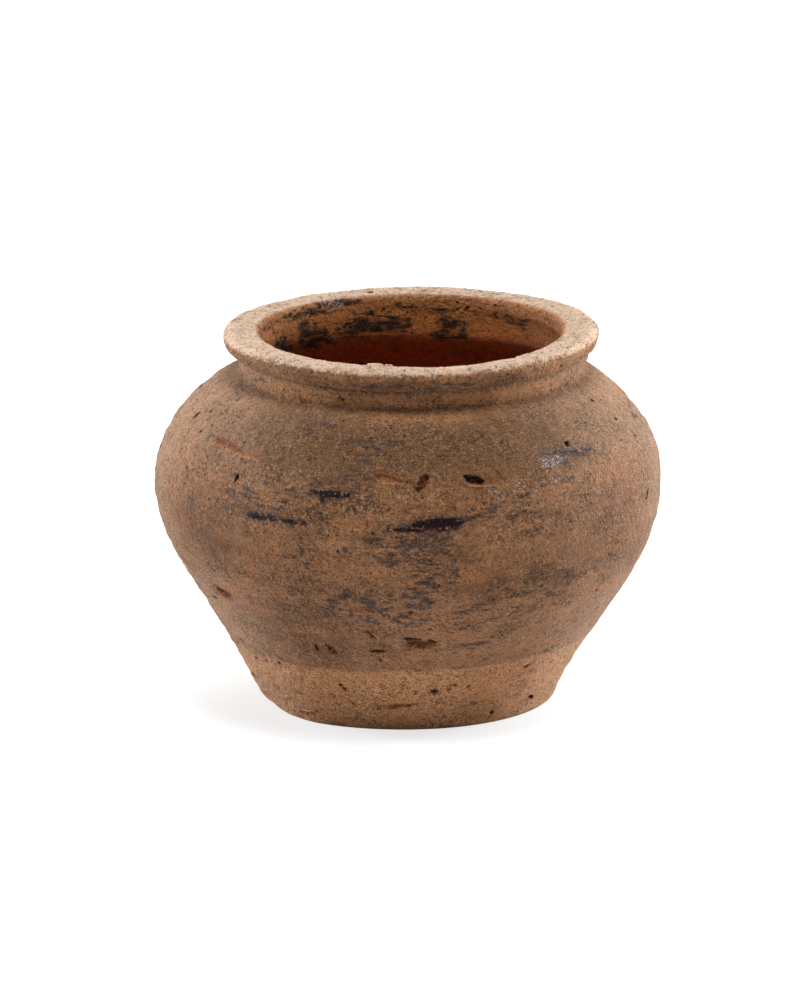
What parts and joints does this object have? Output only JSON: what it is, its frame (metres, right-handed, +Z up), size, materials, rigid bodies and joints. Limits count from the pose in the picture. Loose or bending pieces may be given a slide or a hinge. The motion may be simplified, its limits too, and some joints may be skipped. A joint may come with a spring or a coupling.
{
  "type": "flower pot",
  "caption": "Squat hand-built terracotta flower pot with a round belly, a short neck, a thick rolled rim and a drained flat base.",
  "frame": {"origin": "middle of the underside, on the ground", "axes": "+Z up along the axis of the pot, -Y towards the side that the picture shows"},
  "size_m": [0.2048, 0.2048, 0.153],
  "materials": {
    "bare_terracotta": "unglazed, scraped and matte",
    "weathered_terracotta": "sandy and matte, with worn remains of a dark glaze",
    "worn_rim_terracotta": "rubbed pale, rough and matte"
  },
  "bodies": {
    "root": {"base_slab": "bare_terracotta", "foot_wall": "bare_terracotta", "belly_wall": "weathered_terracotta", "shoulder_wall": "weathered_terracotta", "neck_collar": "weathered_terracotta", "rolled_rim": "worn_rim_terracotta"}
  },
  "joints": []
}
